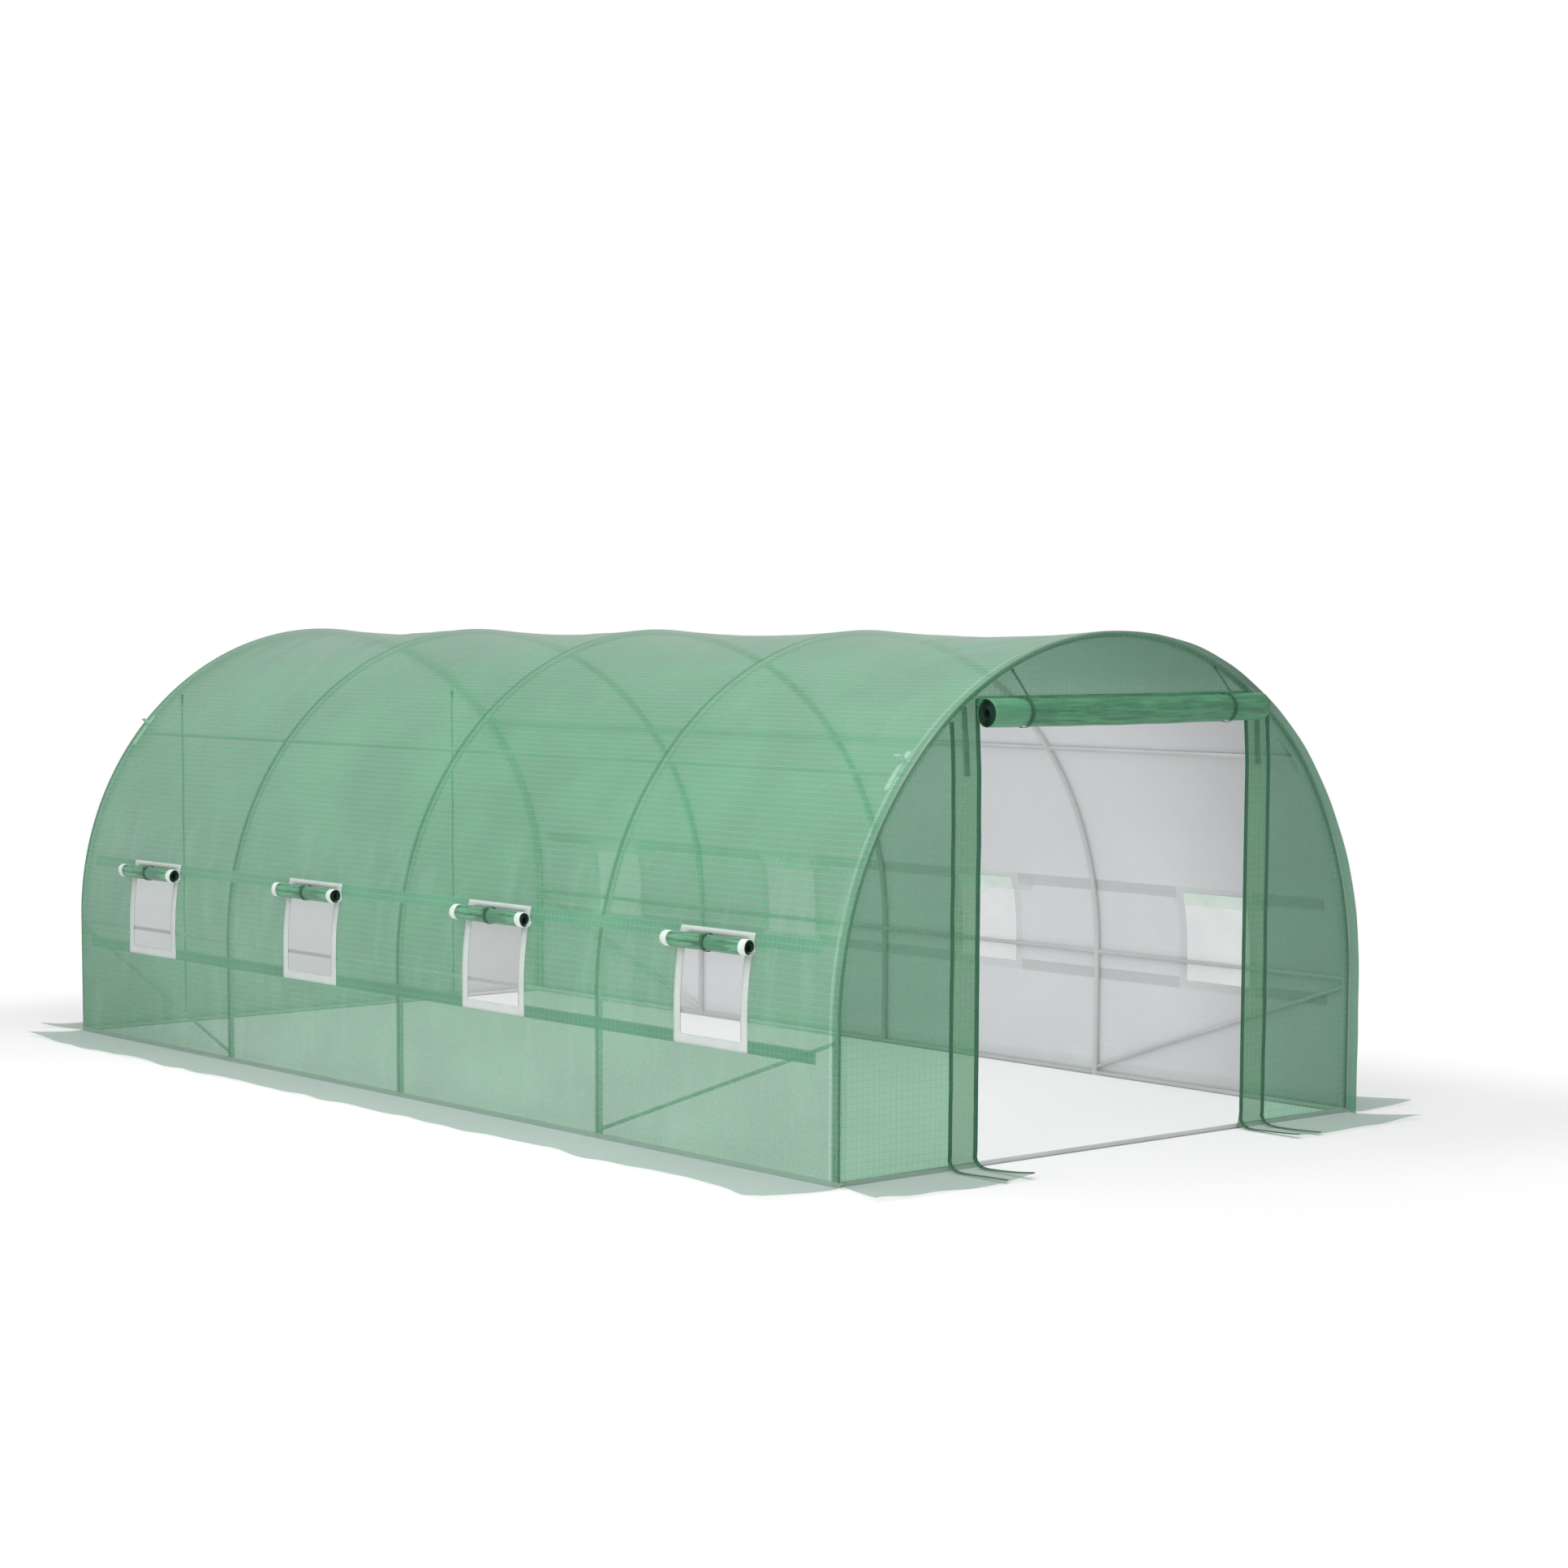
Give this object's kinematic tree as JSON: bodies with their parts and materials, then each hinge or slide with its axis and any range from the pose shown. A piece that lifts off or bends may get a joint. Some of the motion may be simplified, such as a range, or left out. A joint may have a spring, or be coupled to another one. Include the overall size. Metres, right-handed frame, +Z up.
{
  "type": "polytunnel greenhouse",
  "caption": "Walk-in polytunnel greenhouse with a steel hoop frame, a woven green cover, a roll-up doorway at the front and screened roll-up windows along both sides",
  "frame": {"origin": "centre of the footprint on the ground, under the middle of the tunnel", "axes": "+Z up, +Y along the tunnel from the doorway to the back, +X across to the right as seen from the doorway"},
  "size_m": [3.68, 6.5276, 2.0998],
  "materials": {
    "steel": "galvanised steel tube",
    "cover": "glossy translucent woven polyethylene",
    "rolled_cover": "rolled woven polyethylene",
    "webbing": "dark green webbing and zip tape",
    "border": "white hook-and-loop tape",
    "screen": "fine insect screen"
  },
  "bodies": {
    "root": {"front_hoop": "steel", "second_hoop": "steel", "middle_hoop": "steel", "fourth_hoop": "steel", "back_hoop": "steel", "left_base_rail": "steel", "right_base_rail": "steel", "front_sill_rail": "steel", "back_sill_rail": "steel", "left_waist_rail": "steel", "right_waist_rail": "steel", "left_shoulder_rail": "steel", "right_shoulder_rail": "steel", "left_front_brace": "steel", "left_back_brace": "steel", "right_front_brace": "steel", "right_back_brace": "steel", "left_wall_cover": "cover", "left_shoulder_cover": "cover", "crown_cover": "cover", "right_shoulder_cover": "cover", "right_wall_cover": "cover", "front_panel_left": "cover", "front_panel_right": "cover", "front_panel_top": "cover", "back_panel": "cover", "left_skirt": "cover", "right_skirt": "cover", "front_left_skirt": "cover", "front_right_skirt": "cover", "back_skirt": "cover", "left_wall_bands": "rolled_cover", "right_wall_bands": "rolled_cover", "left_window_borders": "border", "right_window_borders": "border", "left_window_screens": "screen", "right_window_screens": "screen", "left_window_blinds": "rolled_cover", "right_window_blinds": "rolled_cover", "window_blind_ties": "webbing", "door_roll": "rolled_cover", "door_roll_ties": "webbing", "door_hanging_straps": "webbing", "left_door_trim": "webbing", "right_door_trim": "webbing", "back_door_zips": "webbing", "guy_loops": "webbing"}
  },
  "joints": []
}
